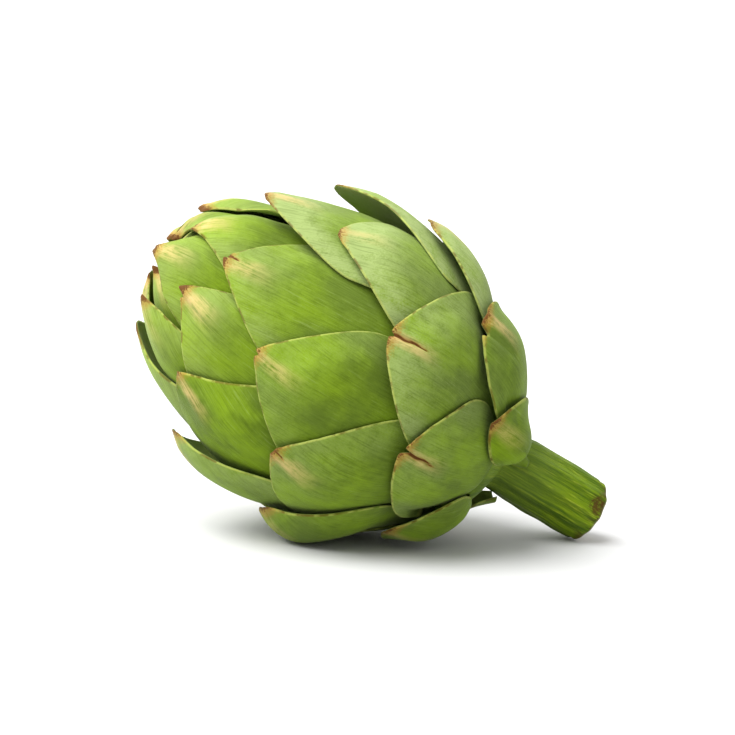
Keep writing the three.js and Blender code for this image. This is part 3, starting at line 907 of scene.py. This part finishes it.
class Nodes:
    """A material's or group's node tree, with short calls for the nodes that it uses."""

    # Where a mix node has its factor and two colours among its inputs, and its colour among its
    # outputs
    MIX_INPUTS = (0, 6, 7)
    MIX_OUTPUT = 2

    def __init__(self, tree):
        self.tree = tree

    def new(self, kind, **settings):
        """A new node with some of its own settings."""
        node = self.tree.nodes.new(kind)
        for key, value in settings.items():
            setattr(node, key, value)
        return node

    def feed(self, socket, value):
        """Links a socket to another one, or sets its number, vector or colour."""
        if isinstance(value, bpy.types.NodeSocket):
            self.tree.links.new(value, socket)
        else:
            socket.default_value = (*value, 1) if socket.type == "RGBA" else value

    def attribute(self, name, output="Fac"):
        """A value that the mesh holds for each of its points."""
        return self.new("ShaderNodeAttribute", attribute_name=name).outputs[output]

    def parts(self, vector):
        """The three parts of a vector."""
        node = self.new("ShaderNodeSeparateXYZ")
        self.feed(node.inputs[0], vector)
        return tuple(node.outputs)

    def math(self, operation, *values, clamp=False):
        """One step of arithmetic."""
        node = self.new("ShaderNodeMath", operation=operation, use_clamp=clamp)
        for socket, value in zip(node.inputs, values):
            self.feed(socket, value)
        return node.outputs[0]

    def plus(self, a, b):
        """a + b"""
        return self.math("ADD", a, b)

    def minus(self, a, b):
        """a - b"""
        return self.math("SUBTRACT", a, b)

    def times(self, a, b):
        """a * b"""
        return self.math("MULTIPLY", a, b)

    def larger(self, a, b):
        """The larger of a and b."""
        return self.math("MAXIMUM", a, b)

    def line(self, value, slope, start):
        """slope * value + start"""
        return self.plus(self.times(value, slope), start)

    def weighted(self, marks, weights):
        """The sum of some of the marks, each times its weight."""
        total, *others = (self.times(marks[name], weight) for name, weight in weights.items())
        for each in others:
            total = self.plus(total, each)
        return total

    def ramp(self, value, limits, smooth=True):
        """0 at the first limit, 1 at the second, and a smooth step between."""
        node = self.new("ShaderNodeMapRange", interpolation_type="SMOOTHSTEP" if smooth else "LINEAR")
        self.feed(node.inputs["Value"], value)
        node.inputs["From Min"].default_value, node.inputs["From Max"].default_value = limits
        return node.outputs["Result"]

    def mix(self, factor, a, b):
        """Colour a, and colour b over it as far as the factor says."""
        node = self.new("ShaderNodeMix", data_type="RGBA")
        for index, value in zip(self.MIX_INPUTS, (factor, a, b)):
            self.feed(node.inputs[index], value)
        return node.outputs[self.MIX_OUTPUT]

    def vector(self, operation, a, b):
        """One step of arithmetic on vectors."""
        node = self.new("ShaderNodeVectorMath", operation=operation)
        self.feed(node.inputs[0], a)
        self.feed(node.inputs["Scale" if operation == "SCALE" else 1], b)
        return node.outputs["Value" if operation in {"DISTANCE", "DOT_PRODUCT"} else 0]

    def noise(self, vector, scale=1.0, detail=2.0, roughness=0.5):
        """Soft noise between 0 and 1."""
        node = self.new("ShaderNodeTexNoise")
        self.feed(node.inputs["Vector"], vector)
        node.inputs["Scale"].default_value = scale
        node.inputs["Detail"].default_value = detail
        node.inputs["Roughness"].default_value = roughness
        return node.outputs["Fac"]

    def patterns(self, place, table):
        """The noises of a table, by their names."""
        return {
            name: self.noise(self.vector("MULTIPLY", place, fineness), detail=detail, roughness=roughness)
            for name, (fineness, detail, roughness) in table.items()
        }

    def bump(self, shader, height, strength, distance):
        """Lets a height raise fine relief on the skin."""
        node = self.new("ShaderNodeBump")
        node.inputs["Strength"].default_value = strength
        node.inputs["Distance"].default_value = distance
        self.feed(node.inputs["Height"], height)
        self.feed(shader.inputs["Normal"], node.outputs["Normal"])


def new_group(name, inputs, outputs):
    """An empty shader node group with named inputs and outputs."""
    tree = bpy.data.node_groups.new(name, "ShaderNodeTree")
    for label, kind in inputs:
        tree.interface.new_socket(label, in_out="INPUT", socket_type=kind)
    for label, kind in outputs:
        tree.interface.new_socket(label, in_out="OUTPUT", socket_type=kind)
    nodes = Nodes(tree)
    return nodes, nodes.new("NodeGroupInput"), nodes.new("NodeGroupOutput")


def fibre_group():
    """Fine fibres running along a blade or stem: a mask of streaks and a height to bump with.

    They are noises of a place that is stretched along its second direction, a broad and a fine
    one, and the mask is a part of each.
    """
    known = bpy.data.node_groups.get("plant_fibres")
    if known:
        return known
    nodes, given, made = new_group(
        "plant_fibres",
        [("Place", "NodeSocketVector"), ("Fineness", "NodeSocketFloat")],
        [("Streaks", "NodeSocketFloat"), ("Height", "NodeSocketFloat")])
    stretched = nodes.vector("MULTIPLY", given.outputs["Place"], FIBRE_STRETCH)
    finer = nodes.vector("SCALE", stretched, given.outputs["Fineness"])
    broad, fine = (nodes.noise(finer, scale, detail) for scale, detail, _ in (BROAD_FIBRES, FINE_FIBRES))
    streaks = nodes.plus(nodes.times(broad, BROAD_FIBRES[2]), nodes.times(fine, FINE_FIBRES[2]))
    nodes.feed(made.inputs["Streaks"], streaks)
    nodes.feed(made.inputs["Height"], fine)
    return nodes.tree


def fibres(nodes, place, fineness):
    """The streaks and the height of the fibre group at a place."""
    node = nodes.new("ShaderNodeGroup", node_tree=fibre_group())
    nodes.feed(node.inputs["Place"], place)
    node.inputs["Fineness"].default_value = fineness
    return node.outputs["Streaks"], node.outputs["Height"]


def new_material(name):
    """An empty material with its Principled shader."""
    material = bpy.data.materials.new(name)
    material.use_nodes = True
    material.node_tree.nodes.clear()
    nodes = Nodes(material.node_tree)
    shader = nodes.new("ShaderNodeBsdfPrincipled")
    output = nodes.new("ShaderNodeOutputMaterial")
    nodes.feed(output.inputs["Surface"], shader.outputs["BSDF"])
    return material, nodes, shader


def bract_green(nodes, settings, marks):
    """The skin of a bract: green in patches, deeper where covered, and paler near its edges.

    The open part has a dusty bloom, which is partly painted light: it is raised as a painted highlight on
    the bracts that face the light from above, and lowered as painted shade on some that face away. Young
    bracts are a fresher green there. Dark and pale fibres run over all of it.
    """
    tone = nodes.weighted(marks, VIVID_BY)
    skin = nodes.mix(nodes.ramp(tone, VIVID_TONE), settings.green, settings.vivid)
    covered = nodes.times(nodes.ramp(marks["from_tip"], COVERED_FROM_TIP), BRACT_COVER["covered"])
    skin = nodes.mix(covered, skin, settings.green)
    opened = nodes.larger(nodes.ramp(marks["from_edge"], OPEN_FROM_EDGE),
                          nodes.ramp(marks["from_tip"], OPEN_FROM_TIP))
    young = nodes.times(marks["young"], nodes.line(opened, *YOUNG_WHERE_OPEN))
    skin = nodes.mix(young, skin, settings.young)

    dust = nodes.ramp(nodes.weighted(marks, DUST_BY), BLOOM_DUST)
    bloom = nodes.times(nodes.line(opened, *BLOOM_WHERE_OPEN), dust)
    # Each bract's bloom amount: on the top bracts it is partly a painted highlight, and on some that face
    # away it is lowered as painted shade.
    bloom = nodes.math("MULTIPLY", bloom, nodes.attribute("bloom"), clamp=True)
    skin = nodes.mix(bloom, skin, settings.bloom)
    dark = nodes.times(nodes.ramp(marks["streaks"], DARK_FIBRES), BRACT_COVER["dark fibres"])
    skin = nodes.mix(dark, skin, FIBRE_DARKNESS * settings.green)
    pale = nodes.times(nodes.ramp(marks["streaks"], PALE_FIBRES), BRACT_COVER["pale fibres"])
    return nodes.mix(pale, skin, settings.bloom)


def tan_streak(nodes, marks):
    """A torn streak down the middle from the tip, which wanders, widens, and differs by bract."""
    wander = nodes.times(nodes.minus(marks["patches"], MIDDLE_LEVEL), STREAK_WANDER)
    beside = nodes.math("ABSOLUTE", nodes.plus(marks["across"], wander))
    beside = nodes.minus(beside, nodes.times(marks["from_tip"], STREAK_WIDENING))
    streak = nodes.times(nodes.ramp(beside, STREAK_FROM_MIDRIB),
                         nodes.ramp(marks["from_tip"], STREAK_FROM_TIP))
    streak = nodes.times(streak, nodes.ramp(nodes.weighted(marks, TORN_BY), STREAK_TORN))
    of_bract = nodes.new("ShaderNodeTexWhiteNoise", noise_dimensions="1D")
    nodes.feed(of_bract.inputs["W"], marks["bract"])
    return nodes.times(streak, nodes.line(of_bract.outputs["Value"], *STREAK_BY_BRACT))


def dried_marks(nodes, marks):
    """How brown, and how orange-brown round that, the tip, the worn edges and the cracks are."""
    rough_edge = nodes.times(marks["young"], nodes.times(marks["specks"], SPECKS_AT_EDGE))
    edge = nodes.ramp(nodes.minus(marks["from_edge"], rough_edge), DRY_FROM_EDGE)
    edge = nodes.times(edge, nodes.ramp(marks["worn"], DRY_WORN))
    edge = nodes.times(edge, nodes.ramp(marks["from_tip"], DRY_FROM_TIP))
    beyond = nodes.plus(marks["from_tip"], nodes.times(marks["specks"], SPECKS_AT_TIP))
    beyond = nodes.minus(beyond, nodes.times(marks["young"], YOUNG_TIP_BROWNER))
    crack = nodes.attribute("crack")
    brown = nodes.larger(nodes.ramp(beyond, BROWN_FROM_TIP), nodes.ramp(crack, BROWN_IN_CRACK))
    brown = nodes.larger(nodes.times(edge, BRACT_COVER["dry edge"]), brown)
    halo = nodes.larger(nodes.times(nodes.ramp(beyond, HALO_FROM_TIP), BRACT_COVER["halo"]),
                        nodes.times(crack, BRACT_COVER["crack halo"]))
    return brown, halo


def bract_material(settings):
    """Waxy green with a grey bloom that is partly painted highlight and painted shade, fibres, a pale rim, a
    tan streak and a dried brown tip.
    """
    known = bpy.data.materials.get("bract_skin")
    if known:
        return known
    material, nodes, shader = new_material("bract_skin")
    blade = nodes.attribute("blade", "Vector")
    streaks, height = fibres(nodes, blade, BRACT_FIBRE_FINENESS)
    marks = nodes.patterns(blade, BRACT_PATTERNS)
    marks.update(zip(("across", "from_tip", "bract"), nodes.parts(blade)))
    marks.update({name: nodes.attribute(name) for name in ("from_edge", "young")}, streaks=streaks)

    skin = bract_green(nodes, settings, marks)
    skin = nodes.mix(tan_streak(nodes, marks), skin, settings.streak)
    rim = nodes.times(nodes.ramp(marks["from_edge"], RIM_FROM_EDGE), nodes.ramp(marks["worn"], RIM_WORN))
    skin = nodes.mix(nodes.times(rim, BRACT_COVER["rim"]), skin, settings.rim)
    brown, halo = dried_marks(nodes, marks)
    skin = nodes.mix(halo, skin, settings.halo)
    skin = nodes.mix(nodes.times(brown, BRACT_COVER["brown"]), skin, settings.brown)
    inside = nodes.times(nodes.attribute("inside"), BRACT_COVER["inside"])
    skin = nodes.mix(inside, skin, settings.inner)
    nodes.feed(shader.inputs["Base Color"], skin)
    nodes.feed(shader.inputs["Roughness"], nodes.line(marks["mottle"], *ROUGHNESS_BY_MOTTLE))
    shader.inputs["Specular IOR Level"].default_value = 0.05
    shader.inputs["Sheen Weight"].default_value = 0.12
    shader.inputs["Sheen Roughness"].default_value = 0.45
    shader.inputs["Sheen Tint"].default_value = (0.85, 1, 0.5, 1)
    nodes.bump(shader, height, strength=0.3, distance=0.3 * MM)
    return material


def stem_material(settings):
    """Ribbed green skin with light and dark streaks, a bruise, and a dried cut face."""
    material, nodes, shader = new_material("stem_skin")
    place = nodes.attribute("blade", "Vector")
    along = nodes.parts(place)[1]
    streaks, height = fibres(nodes, place, STEM_FIBRE_FINENESS)
    marks = nodes.patterns(place, STEM_PATTERNS)
    marks["streaks"] = streaks
    tone = nodes.weighted(marks, RIBS_BY)
    skin = nodes.mix(nodes.ramp(tone, RIB_TONE), settings.green, settings.light)
    worn = nodes.times(nodes.ramp(along, MARKS_NEAR_CUT), nodes.ramp(marks["mottle"], MARKS_MOTTLE))
    layers = (
        (nodes.ramp(streaks, PALE_STREAKS), "pale streaks", settings.pale),
        (nodes.ramp(marks["mottle"], DULL_MOTTLE), "dull patches", settings.dull),
        (nodes.ramp(along, DULL_NEAR_HEAD), "dull near the head", settings.dull),
        (worn, "marks near the cut", settings.bruise),
    )
    for share, layer, coat in layers:
        skin = nodes.mix(nodes.times(share, STEM_COVER[layer]), skin, coat)
    from_bruise = nodes.vector("DISTANCE", place, BRUISE_AT)
    ragged = nodes.minus(from_bruise, nodes.times(marks["mottle"], BRUISE_RAGGED))
    bruise = nodes.times(nodes.ramp(ragged, BRUISE_REACH), nodes.ramp(marks["specks"], BRUISE_SPECKS))
    skin = nodes.mix(nodes.times(bruise, STEM_COVER["bruise"]), skin, settings.bruise)
    skin = nodes.mix(nodes.attribute("cut"), skin, settings.cut)
    nodes.feed(shader.inputs["Base Color"], skin)
    shader.inputs["Roughness"].default_value = 0.5
    shader.inputs["Specular IOR Level"].default_value = 0.1
    nodes.bump(shader, height, strength=0.6, distance=0.5 * MM)
    return material


def surface_material(pale):
    """A matt pale surface with the faintest mottle."""
    material, nodes, shader = new_material("pale_surface")
    mottle = nodes.noise(nodes.new("ShaderNodeTexCoord").outputs["Object"], scale=30, detail=3)
    nodes.feed(shader.inputs["Base Color"], nodes.mix(mottle, SURFACE_DARKEST * pale, pale))
    shader.inputs["Roughness"].default_value = 0.7
    return material


# ---------------------------------------------------------------------------
# Operators
# ---------------------------------------------------------------------------

class ARTICHOKE_OT_bracts(bpy.types.Operator):
    """Make the bracts, one piece for each"""

    bl_idname = "artichoke.bracts"
    bl_label = "Bracts"

    def execute(self, context):
        settings = context.scene.artichoke_bracts
        material = bract_material(settings)
        plans = {n: plan_of(n, blade_thickness(n, settings)) for n in range(1, BRACT_COUNT + 1)}
        for number in plans:
            name = f"bract_{number:02d}"
            points, quads, measures = bract_shape(number, settings, plans)
            make_piece(f"{name}_leaf", points, quads, measures, material, name)
        return {"FINISHED"}


class ARTICHOKE_OT_bud(bpy.types.Operator):
    """Make the closed bud: small bracts over a core"""

    bl_idname = "artichoke.bud"
    bl_label = "Bud"

    def execute(self, context):
        settings = context.scene.artichoke_bracts
        core, core_quads, fans, core_measures = bud_core()
        points, quads, measures = [core], [core_quads], [core_measures]
        first = BRACT_COUNT + 1
        for number in range(first, first + BUD_BRACTS + BUD_CLOSING_BRACTS):
            shape, faces, values = bract_shape(number, settings, {}, length=BUD_BRACT_LENGTH)
            quads.append(faces + sum(len(p) for p in points))
            points.append(shape)
            measures.append(values)
        joined = {key: np.concatenate([m[key] for m in measures]) for key in core_measures}
        make_piece("bud_leaves", np.concatenate(points), np.concatenate(quads), joined,
                   bract_material(settings), "bud", fans)
        return {"FINISHED"}


class ARTICHOKE_OT_stem(bpy.types.Operator):
    """Make the cut stem with the receptacle grown on it"""

    bl_idname = "artichoke.stem"
    bl_label = "Stem"

    def execute(self, context):
        settings = context.scene.artichoke_stem
        points, quads, fans, measures = stem_shape(settings.sides)
        make_piece("stem_skin", points, quads, measures, stem_material(settings), "stem", fans)
        return {"FINISHED"}


class ARTICHOKE_OT_stage(bpy.types.Operator):
    """Set up the surface, the light and the camera"""

    bl_idname = "artichoke.stage"
    bl_label = "Stage"

    def execute(self, context):
        settings = context.scene.artichoke_stage
        self.make_surface(context, settings)
        self.make_camera(context, settings)
        self.make_key_light(context, settings)
        self.make_light_all_round(context, settings)
        context.scene.view_settings.view_transform = "Standard"
        return {"FINISHED"}

    def make_surface(self, context, settings):
        """A flat disc that is far wider than the view."""
        angle = angles_round(SURFACE_SIDES)[0]
        rim = settings.surface_radius * np.stack([np.cos(angle), np.sin(angle), 0 * angle], -1)
        mesh = bpy.data.meshes.new("surface")
        mesh.from_pydata(rim.tolist(), [], [list(range(len(rim)))])
        mesh.materials.append(surface_material(settings.surface))
        surface = bpy.data.objects.new("surface", mesh)
        context.collection.objects.link(surface)

    def make_camera(self, context, settings):
        """A camera that looks at the aim from an azimuth and elevation, turned about its view."""
        azimuth, elevation, roll = settings.azimuth, settings.elevation, settings.roll
        back = np.array((math.sin(azimuth) * math.cos(elevation),
                         -math.cos(azimuth) * math.cos(elevation), math.sin(elevation)))
        level = np.array((math.cos(azimuth), math.sin(azimuth), 0))
        above = np.cross(back, level)
        right = math.cos(roll) * level + math.sin(roll) * above
        up = np.cross(back, right)
        place = np.array(settings.aim) + back * settings.distance
        camera = bpy.data.objects.new("camera", bpy.data.cameras.new("camera"))
        camera.data.lens = settings.lens
        camera.data.clip_start = 10 * MM
        rows = [(*row, p) for row, p in zip(np.stack([right, up, back], 1), place)]
        camera.matrix_world = Matrix(rows + [(0, 0, 0, 1)])
        context.collection.objects.link(camera)
        context.scene.camera = camera

    def make_key_light(self, context, settings):
        """A wide soft light, far away, that shines from above towards the artichoke."""
        data = bpy.data.lights.new("key", "SUN")
        data.energy = settings.key
        data.angle = settings.softness
        lamp = bpy.data.objects.new("key", data)
        lamp.location = settings.key_from
        lamp.rotation_euler = (-Vector(settings.key_from)).to_track_quat("-Z", "Y").to_euler()
        context.collection.objects.link(lamp)

    def make_light_all_round(self, context, settings):
        """White light from all round, which rises evenly from the dim to the bright side."""
        world = bpy.data.worlds.new("studio")
        world.use_nodes = True
        nodes = Nodes(world.node_tree)
        direction = nodes.new("ShaderNodeTexCoord").outputs["Generated"]
        towards = nodes.vector("DOT_PRODUCT", direction, settings.bright_side)
        share = nodes.ramp(towards, (-1, 1), smooth=False)
        strength = nodes.line(share, settings.ambient - settings.shade, settings.shade)
        background = world.node_tree.nodes["Background"]
        background.inputs["Color"].default_value = (1, 1, 1, 1)
        nodes.feed(background.inputs["Strength"], strength)
        context.scene.world = world


class ARTICHOKE_PT_panel(bpy.types.Panel):
    """The artichoke's pieces, in the sidebar of the 3D view"""

    bl_label = "Artichoke"
    bl_space_type = "VIEW_3D"
    bl_region_type = "UI"
    bl_category = "Artichoke"

    def draw(self, context):
        for operator in OPERATORS:
            self.layout.operator(operator.bl_idname)


OPERATORS = (ARTICHOKE_OT_stage, ARTICHOKE_OT_stem, ARTICHOKE_OT_bracts, ARTICHOKE_OT_bud)
GROUPS = (ArtichokeBractSettings, ArtichokeStemSettings, ArtichokeStageSettings)


def register():
    """Makes the settings, operators and panel known to Blender."""
    for each in (*GROUPS, *OPERATORS, ARTICHOKE_PT_panel):
        bpy.utils.register_class(each)
    bpy.types.Scene.artichoke_bracts = PointerProperty(type=ArtichokeBractSettings)
    bpy.types.Scene.artichoke_stem = PointerProperty(type=ArtichokeStemSettings)
    bpy.types.Scene.artichoke_stage = PointerProperty(type=ArtichokeStageSettings)


def unregister():
    """Takes them out again."""
    del bpy.types.Scene.artichoke_stage
    del bpy.types.Scene.artichoke_stem
    del bpy.types.Scene.artichoke_bracts
    for each in (ARTICHOKE_PT_panel, *reversed(OPERATORS), *reversed(GROUPS)):
        bpy.utils.unregister_class(each)


def main():
    """Builds the stage and every piece."""
    register()
    bpy.ops.artichoke.stage()
    bpy.ops.artichoke.stem()
    bpy.ops.artichoke.bracts()
    bpy.ops.artichoke.bud()


if __name__ == "__main__":
    main()
